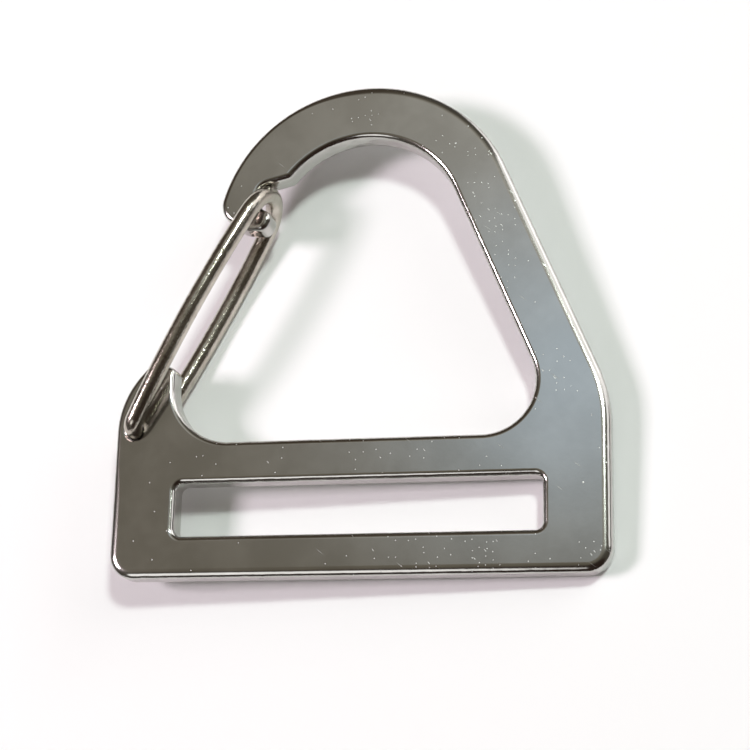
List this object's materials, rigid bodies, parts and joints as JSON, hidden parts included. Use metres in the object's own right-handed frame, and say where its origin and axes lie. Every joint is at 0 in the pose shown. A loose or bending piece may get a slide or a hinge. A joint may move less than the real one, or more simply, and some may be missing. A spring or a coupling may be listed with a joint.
{
  "type": "snap hook",
  "caption": "Flat stamped snap hook with a webbing slot at its foot and a sprung bent-wire gate across its open arch.",
  "frame": {"origin": "middle of the webbing slot, halfway through the plate's thickness", "axes": "+X along the webbing slot towards the straight limb, +Y from the slot up to the arch, +Z out of the face"},
  "size_m": [0.0524, 0.0538, 0.0108],
  "materials": {
    "plate_nickel": "polished dark nickel plating, tumbled edges, fine handling scratches",
    "wire_nickel": "polished nickel plated wire with faint drawing lines"
  },
  "bodies": {
    "plate": {"hook_plate": "plate_nickel"},
    "gate": {"wire_gate": "wire_nickel"}
  },
  "joints": [
    {"name": "gate_hinge", "type": "hinge", "parent": "plate", "child": "gate", "pos_m": [-0.02415, 0.0086, 0], "axis": [0, 0, -1], "range_deg": [0, 48], "stiffness_Nm_per_rad": 0.05, "springref_deg": -20.05}
  ]
}
